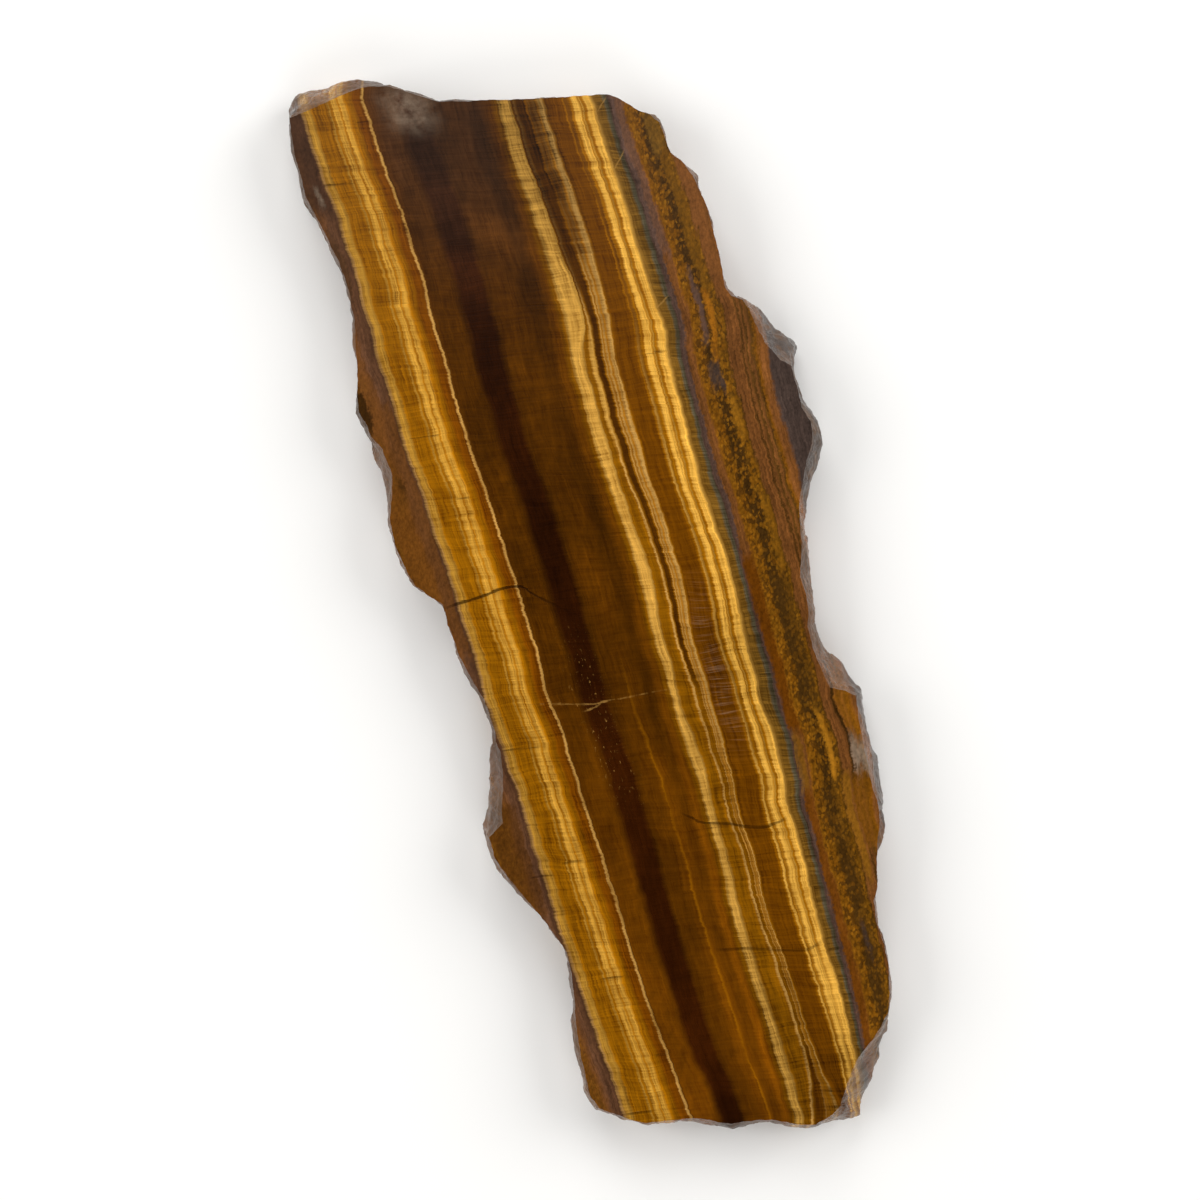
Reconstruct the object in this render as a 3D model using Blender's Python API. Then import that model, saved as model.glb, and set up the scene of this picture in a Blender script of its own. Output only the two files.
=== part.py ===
"""A rough slab of tiger's eye: one stone, sawn flat on both faces, with broken and flaked edges all round.

It lies on its sawn back on the XY plane, polished face up, with its colour bands running along Y. The origin
is under the middle of its outline. Lengths are in millimetres until the mesh is written, in metres.
"""

import math
import random

import bmesh
import bpy
from mathutils import Vector, noise

MM = 0.001

THICKNESS = 16.0

# The outline, rib by rib and anticlockwise from the upper left corner. A rib runs out from the rim of the
# polished face to the furthest point of the broken flank below it. The ribs of the long sides lie along X, so
# a row holds y, the rim's x and the flank's x. The ribs of the two ends lie along Y, so a row holds x, the
# rim's y and the flank's y. A corner's rib is slanted, and holds x and y of both. A wide rib is a sloping
# facet, a narrow one a steep break.
UPPER_LEFT_CORNER = (-34.6, 138.4, -35.6, 144.8)
LEFT_SIDE = (
    (138.0, -36.2, -37.9),
    (129.0, -37.5, -38.9),
    (118.0, -38.0, -39.1),
    (113.0, -37.0, -38.0),
    (101.5, -35.0, -36.2),
    (92.0, -34.4, -35.8),
    (88.0, -35.2, -36.4),
    (86.0, -35.0, -35.9),
    (77.0, -37.3, -38.2),
    (66.0, -40.3, -41.2),
    (62.5, -41.0, -41.9),
    (59.0, -40.0, -41.4),
    (56.0, -39.8, -41.0),
    (52.0, -38.0, -41.0),
    (45.0, -37.8, -40.9),
    (41.0, -39.0, -41.6),
    (34.5, -41.4, -42.7),
    (28.0, -42.0, -42.9),
    (22.5, -41.4, -42.5),
    (17.0, -40.5, -41.7),
    (13.0, -37.2, -38.2),
    (10.6, -35.0, -36.0),
    (5.0, -35.4, -36.8),
    (2.0, -35.2, -36.6),
    (-3.0, -35.0, -36.6),
    (-9.5, -33.6, -35.6),
    (-15.5, -32.1, -33.9),
    (-23.0, -31.9, -33.1),
    (-26.0, -32.5, -33.9),
    (-28.5, -32.1, -36.0),
    (-33.0, -32.8, -38.0),
    (-38.5, -34.2, -39.2),
    (-42.5, -35.7, -40.9),
    (-46.0, -36.8, -42.2),
    (-48.5, -41.0, -42.4),
    (-54.0, -41.2, -42.3),
    (-58.5, -39.6, -41.0),
    (-64.5, -37.2, -38.6),
    (-70.5, -34.8, -36.2),
    (-76.0, -32.7, -33.9),
    (-81.3, -31.0, -31.8),
    (-86.0, -31.2, -32.3),
    (-92.5, -32.2, -33.6),
    (-99.0, -33.6, -35.0),
    (-106.0, -34.8, -36.2),
    (-112.0, -35.2, -36.6),
    (-117.5, -35.6, -36.9),
    (-121.5, -34.4, -35.8),
)
LOWER_END = (
    (-32.5, -123.0, -125.4),
    (-29.0, -125.6, -128.0),
    (-25.0, -128.0, -130.2),
    (-20.0, -129.0, -131.2),
    (-13.0, -130.4, -132.8),
    (-9.0, -132.2, -135.0),
    (-4.0, -134.8, -137.2),
    (-1.0, -135.0, -137.4),
    (5.7, -136.6, -139.0),
    (12.0, -139.8, -142.2),
    (16.0, -141.2, -143.6),
    (20.0, -140.2, -143.6),
)
LOWER_RIGHT_CORNER = (23.4, -138.6, 27.8, -144.4)
RIGHT_SIDE = (
    (-136.5, 24.5, 34.2),
    (-131.5, 28.0, 37.0),
    (-128.0, 31.3, 39.2),
    (-125.0, 36.0, 41.0),
    (-120.0, 41.2, 43.0),
    (-116.0, 43.0, 44.2),
    (-108.0, 45.2, 46.3),
    (-102.5, 45.7, 46.8),
    (-96.5, 45.5, 46.5),
    (-91.5, 46.4, 47.4),
    (-88.5, 48.4, 49.5),
    (-82.0, 50.2, 51.3),
    (-73.0, 53.7, 56.0),
    (-68.0, 54.7, 57.6),
    (-65.0, 54.5, 57.9),
    (-60.8, 54.6, 58.4),
    (-54.0, 55.4, 58.5),
    (-48.5, 56.0, 58.3),
    (-41.4, 57.0, 60.2),
    (-39.6, 54.8, 60.3),
    (-37.6, 51.4, 59.0),
    (-31.0, 50.5, 56.0),
    (-28.5, 50.4, 54.0),
    (-26.0, 50.3, 53.9),
    (-21.5, 50.5, 53.7),
    (-18.0, 51.9, 54.3),
    (-14.0, 52.6, 55.7),
    (-9.0, 52.5, 56.4),
    (-5.0, 54.0, 57.2),
    (-0.4, 55.6, 58.6),
    (3.4, 56.3, 58.6),
    (6.5, 57.0, 60.4),
    (11.0, 58.7, 62.3),
    (15.6, 61.1, 64.7),
    (18.5, 62.6, 66.3),
    (22.0, 65.2, 68.0),
    (25.3, 66.2, 68.6),
    (27.5, 66.4, 68.2),
    (31.5, 65.2, 67.4),
    (36.0, 65.7, 67.0),
    (42.0, 65.9, 66.9),
    (44.6, 63.6, 68.7),
    (47.6, 62.1, 70.0),
    (49.8, 61.2, 69.4),
    (52.0, 60.9, 67.0),
    (53.0, 60.7, 65.1),
    (56.0, 60.3, 64.4),
    (59.0, 59.8, 63.6),
    (61.6, 58.8, 61.8),
    (63.2, 56.6, 58.3),
    (65.6, 55.7, 56.7),
    (76.0, 56.9, 57.9),
    (86.0, 57.3, 58.2),
    (95.0, 56.1, 57.1),
    (99.6, 54.4, 55.4),
    (102.0, 52.5, 53.4),
    (110.0, 51.8, 52.8),
    (112.4, 50.4, 51.4),
    (114.4, 48.0, 49.1),
    (118.0, 44.8, 45.8),
)
UPPER_END = (
    (41.6, 120.6, 121.8),
    (37.5, 121.6, 122.8),
    (23.0, 125.1, 126.3),
    (6.0, 129.5, 130.6),
    (1.0, 131.0, 132.2),
    (-1.2, 132.4, 134.2),
    (-4.5, 134.8, 136.8),
    (-10.0, 138.2, 140.4),
    (-15.0, 140.0, 142.7),
    (-19.5, 140.0, 143.8),
    (-24.5, 139.4, 144.5),
    (-29.5, 138.8, 146.0),
    (-33.0, 138.4, 146.8),
)
RIB_SPACING = 2.1

# The flank's outward direction at a rib is taken from the ribs this many places to either side of it.
RIBS_ASIDE = 2

# How a flank falls from the rim to its furthest point, and tucks in again to the back. The furthest point's
# depth grows with the rib's width and swings along the flank. The two profiles hold the share of the way down
# and the share of the way out, or in, at each point of a rib.
STEEP_DEPTH = 5.2
DEPTH_PER_REACH = 0.9
DEPTH_SWING = 6.5
LEAST_DEPTH = 2.6
MOST_DEPTH = 12.4
SWING_LENGTH = 14.0
LEAST_TUCK = 0.3
TUCK_SWING = 5.5
TUCK_LENGTH = 19.0
TUCK_NOISE_SHIFT = Vector((0, 0, 5))
RIM_TO_REACH = ((0.0, 0.0), (0.14, 0.17), (0.55, 0.6), (1.0, 1.0))
REACH_TO_BACK = ((0.25, 0.12), (0.5, 0.36), (0.76, 0.66), (0.94, 0.9), (1.0, 1.0))

# Flakes: shell-shaped scars where chips sprang off the flank, each cut by a ball that stands outside the
# stone.
FLAKE_COUNT = 260
FLAKE_SEED = 41
FLAKE_RADIUS = (4.0, 24.0)
FLAKE_DEPTH = (0.4, 2.3)
DEEPEST_FLAKE = 2.6
FLAKE_TOP = 14.4

# Ledges: patches of rock layer that broke away a step further in. Lumps: the slow swell of the broken sides.
LEDGE_STEP = 0.7
LEDGE_LENGTH = 11.0
LEDGE_SHARPNESS = 9.0
LEDGE_NOISE_SHIFT = Vector((3, 0, 0))
LUMP_HEIGHT = 0.5
LUMP_LENGTH = 6.0

# The ribs' inner points stray along the flank by up to these shares of the space between them. The noise
# that moves them seldom comes near 1, so it is enlarged first.
STRAY_ALONG = 0.34
STRAY_DOWN = 0.3
STRAY_LENGTH = 1.7
STRAY_GAIN = 2.0
STRAY_SEED = 23

# The share of the relief at each point of a rib, from the rim down to the back. It is small as far as the
# flank's furthest point, which keeps the outline true and the facets smooth.
RELIEF_SHARES = (0.1, 0.3, 0.42, 0.3, 1.0, 1.0, 1.0, 1.0, 1.0)

STONE_COLOUR = (0.25, 0.115, 0.022, 1.0)
STONE_ROUGHNESS = 0.32


def clear_scene():
    for obj in list(bpy.data.objects):
        bpy.data.objects.remove(obj, do_unlink=True)


def long_side_ribs(rows):
    return [(Vector((rim, y, 0)), Vector((reach, y, 0))) for y, rim, reach in rows]


def end_ribs(rows):
    return [(Vector((x, rim, 0)), Vector((x, reach, 0))) for x, rim, reach in rows]


def corner_rib(rim_x, rim_y, reach_x, reach_y):
    return [(Vector((rim_x, rim_y, 0)), Vector((reach_x, reach_y, 0)))]


def corner_to_corner_ribs():
    left = corner_rib(*UPPER_LEFT_CORNER) + long_side_ribs(LEFT_SIDE)
    right = corner_rib(*LOWER_RIGHT_CORNER) + long_side_ribs(RIGHT_SIDE)
    return left + end_ribs(LOWER_END) + right + end_ribs(UPPER_END)


def closely_spaced(ribs):
    """The same ribs with others set between them, so that none is much over RIB_SPACING from the next."""
    spaced = []
    for i, (rim, reach) in enumerate(ribs):
        next_rim, next_reach = ribs[(i + 1) % len(ribs)]
        gap = max((next_rim - rim).length, (next_reach - reach).length)
        steps = max(1, round(gap / RIB_SPACING))
        for step in range(steps):
            share = step / steps
            spaced.append((rim.lerp(next_rim, share), reach.lerp(next_reach, share)))
    return spaced


def outward_directions(ribs):
    """The level direction away from the stone at each rib, from the flank's outline on either side of it."""
    directions = []
    for i in range(len(ribs)):
        along = ribs[(i + RIBS_ASIDE) % len(ribs)][1] - ribs[i - RIBS_ASIDE][1]
        directions.append(Vector((along.y, -along.x, 0)).normalized())
    return directions


def rib_profile(rim, reach, outward):
    """The points of one rib from the polished face down to the back, before the relief."""
    width = (reach - rim).length
    swing = noise.noise(reach / SWING_LENGTH)
    depth = STEEP_DEPTH + DEPTH_PER_REACH * width + DEPTH_SWING * swing
    depth = min(max(depth, LEAST_DEPTH), MOST_DEPTH)
    tuck = LEAST_TUCK + TUCK_SWING * abs(noise.noise(reach / TUCK_LENGTH + TUCK_NOISE_SHIFT))
    points = []
    for down, out in RIM_TO_REACH:
        level = rim.lerp(reach, out)
        points.append(Vector((level.x, level.y, THICKNESS - depth * down)))
    for down, inward in REACH_TO_BACK:
        level = reach - outward * (tuck * inward)
        points.append(Vector((level.x, level.y, (THICKNESS - depth) * (1 - down))))
    return points


def flake_balls(ribs, directions):
    """Centres and radii of the balls that cut the flake scars."""
    chance = random.Random(FLAKE_SEED)
    balls = []
    for _ in range(FLAKE_COUNT):
        i = chance.randrange(len(ribs))
        radius = chance.uniform(*FLAKE_RADIUS)
        depth = chance.uniform(*FLAKE_DEPTH)
        centre = ribs[i][1] + directions[i] * (radius - depth)
        centre.z = chance.uniform(0, FLAKE_TOP)
        balls.append((centre, radius))
    return balls


def relief(point, balls):
    """How far in from its plain profile the rock stands at a point of the flank."""
    flake = max(radius - (point - centre).length for centre, radius in balls)
    ledge = LEDGE_STEP * math.tanh(LEDGE_SHARPNESS * noise.noise(point / LEDGE_LENGTH + LEDGE_NOISE_SHIFT))
    lump = LUMP_HEIGHT * noise.noise(point / LUMP_LENGTH)
    return min(max(flake, 0.0), DEEPEST_FLAKE) + ledge + lump


def enlarged(value):
    return min(max(STRAY_GAIN * value, -1.0), 1.0)


def strayed(profile, outward):
    """The rib with its inner points shifted along the flank and up or down it, so that no grid shows."""
    along = Vector((-outward.y, outward.x, 0)) * RIB_SPACING * STRAY_ALONG
    points = [profile[0]]
    for above, point, below in zip(profile, profile[1:], profile[2:]):
        stray = noise.noise_vector(point / STRAY_LENGTH)
        towards = below if stray.y > 0 else above
        shifted = point.lerp(towards, STRAY_DOWN * abs(enlarged(stray.y)))
        points.append(shifted + along * enlarged(stray.x))
    points.append(profile[-1])
    return points


def broken_outline():
    """Every rib's points with the relief cut in. The rim stays on the polished face, the foot on the back."""
    noise.seed_set(STRAY_SEED)
    ribs = closely_spaced(corner_to_corner_ribs())
    directions = outward_directions(ribs)
    balls = flake_balls(ribs, directions)
    columns = []
    for (rim, reach), outward in zip(ribs, directions):
        profile = strayed(rib_profile(rim, reach, outward), outward)
        shared = zip(profile, RELIEF_SHARES)
        columns.append([point - outward * (share * relief(point, balls)) for point, share in shared])
    return columns


def middle_of(columns):
    xs = [point.x for column in columns for point in column]
    ys = [point.y for column in columns for point in column]
    return Vector(((min(xs) + max(xs)) / 2, (min(ys) + max(ys)) / 2, 0))


def stone_mesh(columns):
    """The closed skin: a strip of flank between each two ribs, the polished face and the back."""
    middle = middle_of(columns)
    mesh = bmesh.new()
    grid = [[mesh.verts.new((point - middle) * MM) for point in column] for column in columns]
    for i, column in enumerate(grid):
        before = grid[i - 1]
        for row in range(len(column) - 1):
            mesh.faces.new((before[row], before[row + 1], column[row + 1], column[row]))
    mesh.faces.new([column[0] for column in grid])
    mesh.faces.new([column[-1] for column in reversed(grid)])
    bmesh.ops.triangulate(mesh, faces=mesh.faces[:], quad_method="BEAUTY", ngon_method="BEAUTY")
    bmesh.ops.recalc_face_normals(mesh, faces=mesh.faces[:])
    return mesh


def stone_material():
    material = bpy.data.materials.new("tigers_eye")
    material.use_nodes = True
    shader = material.node_tree.nodes["Principled BSDF"]
    shader.inputs["Base Color"].default_value = STONE_COLOUR
    shader.inputs["Roughness"].default_value = STONE_ROUGHNESS
    shader.inputs["Metallic"].default_value = 0.0
    return material


def build_slab():
    skin = stone_mesh(broken_outline())
    data = bpy.data.meshes.new("slab")
    skin.to_mesh(data)
    skin.free()
    data.materials.append(stone_material())
    slab = bpy.data.objects.new("slab", data)
    bpy.context.scene.collection.objects.link(slab)


clear_scene()
build_slab()
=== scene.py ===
"""A rough slab of banded tiger's eye, as it lies on a table with its polished face up.

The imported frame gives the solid. Here its broken sides get their fine relief and the stone gets its
bands, fibres, cracks and host rock, and a stage gets a floor, soft lamps and a camera that looks down.
Lengths that end in _MM are millimetres. All others are metres.
"""

from math import cos, radians, sin, tan

import bpy
from bpy.props import FloatProperty, FloatVectorProperty, IntProperty, PointerProperty
from bpy.types import Operator, Panel, PropertyGroup
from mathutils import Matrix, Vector


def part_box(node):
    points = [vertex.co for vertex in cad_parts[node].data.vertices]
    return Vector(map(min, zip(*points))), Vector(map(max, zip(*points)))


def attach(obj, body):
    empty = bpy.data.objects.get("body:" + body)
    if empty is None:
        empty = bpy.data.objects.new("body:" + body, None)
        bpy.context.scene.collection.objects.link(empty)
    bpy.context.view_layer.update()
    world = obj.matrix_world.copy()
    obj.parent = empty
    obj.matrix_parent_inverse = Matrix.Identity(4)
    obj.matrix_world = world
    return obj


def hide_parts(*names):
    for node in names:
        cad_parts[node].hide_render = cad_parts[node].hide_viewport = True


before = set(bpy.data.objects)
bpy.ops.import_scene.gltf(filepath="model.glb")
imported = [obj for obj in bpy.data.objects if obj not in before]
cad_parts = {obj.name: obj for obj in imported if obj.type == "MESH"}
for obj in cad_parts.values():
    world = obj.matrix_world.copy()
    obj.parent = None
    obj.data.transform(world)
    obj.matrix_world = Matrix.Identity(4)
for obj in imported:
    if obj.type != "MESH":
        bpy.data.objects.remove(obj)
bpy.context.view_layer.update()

bl_info = {
    "name": "Tiger's Eye Slab",
    "version": (1, 0, 0),
    "blender": (4, 5, 0),
    "location": "3D View > Sidebar > Tiger's Eye",
    "description": "Builds a rough slab of banded tiger's eye and its stage",
    "category": "Object",
}

NODE = "slab"
BODY = "root"
LOW, HIGH = (Vector(corner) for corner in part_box(NODE))
TO_MM = 1000.0

# The slab's long side stands this far off the run of the bands, and the bands are drawn about this middle.
TURN = radians(17.0)
BAND_MIDDLE_MM = (13.617, 0.864)
FACE_MM = HIGH.z * TO_MM
# A corner lies in a flat face within this distance, and the face looks up or down when its normal does
# by this much. Corners nearer to each other than the merge distance become one.
FLAT_WITHIN = 0.00001
FACES_UP = 0.999
MERGE_WITHIN = 0.00001
SOFTEN_ROUNDS = 3
# Lengths of the features of the flank's relief, and of the chips along its rims.
LEDGE_LENGTH = 0.006
SPLINTER_LENGTH = 0.0014
GRAIN_LENGTH = 0.0009
CHIP_LENGTHS = (("X", 0.0021), ("Y", 0.0024))
# A texture read along the fibres is stretched by these, along, across and down.
SPLINTER_STRETCH = (7.0, 1.0, 0.8)
# The rise of the fibres as they cross the bands.
FIBRE_RISE = radians(4.0)
# What dim fibres are multiplied by, because they are also warmer.
DIM_WARMTH = (1.0, 0.84, 0.50)
CRACK_WIDTH_MM = 0.50
HEALED_WIDTH_MM = 0.26

# Guides: each row is a place along the bands and, there, a place across them. Both are in millimetres.
LEFT_CONTACT = (
    (126.5, -73.2), (111.9, -68.8), (98.3, -63.7), (87.3, -60.2), (81.2, -58.0), (75.0, -56.9),
    (68.8, -54.9), (61.0, -53.1), (51.0, -49.5), (39.5, -46.5), (35.8, -45.3), (28.5, -42.2),
    (17.8, -39.0), (6.3, -35.0), (-3.5, -32.2), (-13.8, -28.6), (-21.8, -26.7), (-35.3, -22.2),
    (-47.8, -17.8), (-60.9, -14.1), (-112.5, 3.2), (-118.5, 5.5), (-128.5, 8.8),
)
RIGHT_CONTACT = (
    (128.0, 4.4), (111.0, 9.2), (103.8, 12.0), (91.0, 16.0), (81.0, 19.2), (71.0, 22.2),
    (61.0, 23.6), (51.0, 26.1), (41.0, 28.8), (31.0, 31.7), (21.0, 35.2), (11.0, 37.8),
    (1.0, 40.5), (-9.0, 43.1), (-19.0, 46.1), (-24.0, 47.0), (-34.0, 50.6), (-44.0, 52.5),
    (-49.0, 53.0), (-59.0, 55.8), (-79.0, 60.8), (-99.0, 65.8), (-109.0, 68.0), (-128.5, 72.8),
)
# Layers between the contacts: each row is a place along the bands in millimetres and, there, how far the
# layer lies from the left contact to the right one, as a share.
THIN_LINE = (
    (126, 0.216), (106, 0.221), (86, 0.220), (76, 0.219), (66, 0.217), (61, 0.228), (51, 0.216),
    (41, 0.223), (21, 0.222), (-9, 0.227), (-19, 0.222), (-34, 0.233), (-39, 0.227), (-54, 0.235),
    (-69, 0.244), (-99, 0.245), (-109, 0.252), (-124, 0.261), (-128.5, 0.267),
)
DARK_STEP = (
    (126, 0.318), (41, 0.325), (26, 0.330), (-24, 0.332), (-49, 0.345), (-109, 0.345),
    (-119, 0.370), (-128.5, 0.380),
)
PALE_BAND_LEFT = (
    (126, 0.640), (76, 0.635), (31, 0.635), (11, 0.645), (-14, 0.635), (-24, 0.643), (-34, 0.633),
    (-44, 0.650), (-64, 0.655), (-74, 0.645), (-94, 0.650), (-109, 0.660), (-128.5, 0.665),
)
PALE_BAND_RIGHT = (
    (126, 0.680), (101, 0.685), (86, 0.690), (76, 0.700), (66, 0.685), (56, 0.676), (41, 0.677),
    (21, 0.672), (11, 0.684), (1, 0.678), (-14, 0.665), (-34, 0.667), (-44, 0.680), (-64, 0.680),
    (-74, 0.675), (-99, 0.680), (-109, 0.690), (-128.5, 0.700),
)
FIRST_THIN_PALE = (
    (126, 0.690), (101, 0.694), (86, 0.700), (76, 0.706), (66, 0.708), (51, 0.703), (41, 0.705),
    (26, 0.711), (11, 0.721), (-4, 0.718), (-14, 0.711), (-24, 0.724), (-34, 0.717), (-44, 0.731),
    (-54, 0.733), (-64, 0.744), (-74, 0.738), (-84, 0.750), (-94, 0.760), (-104, 0.769),
    (-112, 0.772), (-117, 0.769), (-122, 0.756), (-128.5, 0.733),
)
LAST_THIN_PALE = (
    (126, 0.788), (116, 0.793), (91, 0.794), (81, 0.786), (71, 0.783), (51, 0.783), (41, 0.786),
    (26, 0.782), (11, 0.787), (-4, 0.774), (-14, 0.766), (-24, 0.774), (-34, 0.766), (-44, 0.770),
    (-54, 0.772), (-64, 0.781), (-74, 0.773), (-84, 0.785), (-94, 0.796), (-101, 0.800),
    (-107, 0.806), (-112, 0.812), (-117, 0.822), (-122, 0.842), (-128.5, 0.846),
)
GOLD_LINE = (
    (126, 0.858), (101, 0.863), (71, 0.862), (41, 0.865), (26, 0.861), (11, 0.871), (1, 0.866),
    (-14, 0.855), (-24, 0.868), (-34, 0.856), (-44, 0.868), (-54, 0.868), (-64, 0.873), (-69, 0.866),
    (-79, 0.873), (-89, 0.880), (-99, 0.890), (-109, 0.900), (-128.5, 0.905),
)
GOLD_RIGHT = (
    (126, 0.945), (116, 0.950), (81, 0.945), (66, 0.955), (41, 0.955), (21, 0.945), (11, 0.957),
    (-9, 0.945), (-19, 0.943), (-44, 0.947), (-64, 0.955), (-74, 0.948), (-84, 0.950),
    (-94, 0.963), (-128.5, 0.970),
)
# Each guide with the share at which its layer is drawn in the colour bands below.
GUIDES = (
    (THIN_LINE, 0.220),
    (DARK_STEP, 0.325),
    (PALE_BAND_LEFT, 0.640),
    (PALE_BAND_RIGHT, 0.680),
    (FIRST_THIN_PALE, 0.715),
    (LAST_THIN_PALE, 0.775),
    (GOLD_LINE, 0.865),
    (GOLD_RIGHT, 0.950),
)

# Colour bands: each row is a share of the way across and the colour there, with how strongly it is lit.
LEFT_GOLD_BANDS = (
    (0.000, "greyed_gold", 0.50), (0.007, "greyed_gold", 0.95), (0.014, "pale_gold", 0.57),
    (0.023, "pale_gold", 0.66), (0.031, "pale_gold", 0.52), (0.040, "amber", 1.18),
    (0.052, "amber", 0.92), (0.064, "amber", 0.88), (0.070, "amber", 1.18), (0.076, "amber", 0.98),
    (0.088, "amber", 0.98), (0.095, "pale_gold", 0.58), (0.100, "amber", 1.20),
    (0.104, "amber", 1.10), (0.110, "pale_gold", 0.72), (0.118, "pale_gold", 0.94),
    (0.125, "pale_gold", 0.82), (0.131, "amber", 1.50), (0.137, "pale_gold", 0.78),
    (0.147, "pale_gold", 0.88), (0.157, "amber", 1.50), (0.165, "amber", 1.15),
    (0.174, "amber", 0.85), (0.188, "orange_amber", 1.00), (0.208, "orange_amber", 0.80),
    (0.2125, "thin_line", 0.95), (0.2165, "thin_line", 1.00), (0.221, "umber", 1.10),
)
DARK_BANDS = (
    (0.219, "umber", 1.15), (0.240, "umber", 1.02), (0.270, "umber", 1.05), (0.300, "umber", 1.15),
    (0.310, "umber", 0.95), (0.334, "darkest", 1.20), (0.360, "darkest", 1.05),
    (0.405, "darkest", 1.15), (0.425, "umber", 0.80), (0.450, "umber", 0.98),
    (0.500, "umber", 1.05), (0.535, "umber", 0.92), (0.558, "umber", 0.72), (0.580, "umber", 0.74),
    (0.602, "umber", 1.15), (0.620, "umber", 1.50), (0.640, "amber", 0.80),
)
PALE_BANDS = (
    (0.600, "umber", 1.15), (0.614, "umber", 1.40), (0.626, "amber", 0.55), (0.636, "amber", 0.85),
    (0.643, "band_gold", 0.66), (0.650, "band_gold", 0.98), (0.660, "band_gold", 0.94),
    (0.672, "band_gold", 0.98), (0.679, "band_gold", 0.68), (0.685, "amber", 0.95),
    (0.698, "amber", 0.80), (0.7105, "amber", 1.10), (0.7135, "thin_line", 1.05),
    (0.7165, "thin_line", 1.10), (0.7205, "amber", 0.90), (0.7255, "umber", 1.05),
    (0.737, "umber", 1.05), (0.742, "amber", 1.10), (0.745, "thin_line", 0.98),
    (0.7485, "amber", 1.10), (0.754, "thin_line", 0.90), (0.759, "amber", 1.35),
    (0.765, "thin_line", 0.82), (0.7715, "thin_line", 1.08), (0.776, "amber", 1.05),
    (0.782, "deep_amber", 1.15), (0.800, "deep_amber", 1.05),
)
GOLD_BANDS = (
    (0.782, "deep_amber", 1.15), (0.800, "deep_amber", 1.05), (0.835, "deep_amber", 1.02),
    (0.850, "deep_amber", 1.12), (0.859, "amber", 1.10), (0.8635, "band_gold", 0.84),
    (0.8675, "band_gold", 0.66), (0.872, "amber", 0.95), (0.881, "amber", 1.15),
    (0.887, "bright_gold", 0.76), (0.892, "bright_gold", 0.94), (0.8985, "bright_gold", 0.78),
    (0.9025, "bright_gold", 0.86), (0.9065, "amber", 1.30), (0.9105, "bright_gold", 0.46),
    (0.9145, "amber", 1.10), (0.920, "amber", 1.30), (0.926, "bright_gold", 0.82),
    (0.9345, "bright_gold", 0.84), (0.941, "bright_gold", 0.98), (0.948, "band_gold", 0.62),
    (0.956, "olive", 1.20), (0.966, "olive", 1.02), (0.978, "olive", 0.90),
    (0.986, "blue_grey", 1.10), (0.994, "blue_grey", 0.80), (0.999, "purple_grey", 0.75),
    (1.003, "purple_grey", 0.80),
)
# Clouds of the dark middle: from one share across to another, from one place along to another in
# millimetres, and how much lighter or darker they are. They lean a little.
MIDDLE_CLOUDS = (
    (0.535, 0.595, 95.0, 122.0, 0.72),
    (0.310, 0.420, 108.0, 118.0, 0.72),
    (0.420, 0.600, 91.5, 95.0, 1.45),
    (0.320, 0.600, 85.0, 88.5, 0.78),
    (0.220, 0.310, 98.0, 112.0, 1.15),
    (0.500, 0.600, 70.0, 82.0, 0.80),
    (0.430, 0.610, 50.0, 62.0, 1.25),
    (0.530, 0.600, 16.0, 32.0, 0.85),
    (0.430, 0.520, -2.0, 12.0, 1.18),
    (0.220, 0.330, -47.5, -46.0, 1.18),
    (0.220, 0.330, -62.0, -60.5, 1.15),
    (0.520, 0.620, -86.0, -82.0, 0.80),
    (0.430, 0.600, -6.0, 12.0, 1.15),
    (0.500, 0.610, -140.0, -40.0, 1.42),
    (0.585, 0.630, -140.0, 30.0, 1.28),
    (0.220, 0.340, -140.0, -92.0, 1.30),
    (0.420, 0.500, -140.0, -60.0, 0.86),
)
# Host rock by its share across, past both contacts.
RIGHT_ROCK = (
    (1.000, "purple_grey", 0.80), (1.012, "purple_grey", 0.92), (1.019, "red_brown", 0.92),
    (1.038, "red_brown", 1.08), (1.048, "orange_rock", 1.02),
    (1.076, "orange_rock", 0.92), (1.086, "dark_rock", 1.30), (1.112, "dark_rock", 1.20),
    (1.120, "ochre", 0.95), (1.146, "ochre", 0.80), (1.152, "dark_rock", 1.10),
    (1.158, "red_brown", 0.98), (1.168, "red_brown", 0.76), (1.176, "red_brown", 1.10),
    (1.184, "red_brown", 0.84), (1.189, "red_brown", 1.30), (1.196, "dark_rock", 1.10),
    (1.205, "red_brown", 1.10), (1.214, "dark_rock", 1.60), (1.223, "red_brown", 1.20),
    (1.232, "dark_rock", 1.70), (1.242, "orange_rock", 0.98), (1.254, "red_brown", 1.35),
    (1.270, "red_brown", 1.12), (1.284, "slate", 1.15), (1.400, "slate", 0.90),
)
LEFT_ROCK = (
    (-0.180, "rock_ochre", 0.80), (-0.130, "rock_ochre", 1.00), (-0.090, "rock_ochre", 1.12),
    (-0.060, "red_brown", 0.92), (-0.035, "rock_brown", 1.22), (-0.015, "rock_brown", 1.08),
    (-0.004, "rock_brown", 0.80), (0.000, "rock_brown", 0.90),
)
# How much of the granular rock is dark grains, by the share across.
DARK_GRAINS = (
    (1.040, 0.04), (1.055, 0.20), (1.078, 0.38), (1.092, 0.62), (1.112, 0.60), (1.124, 0.36),
    (1.148, 0.22), (1.165, 0.02),
)
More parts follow.
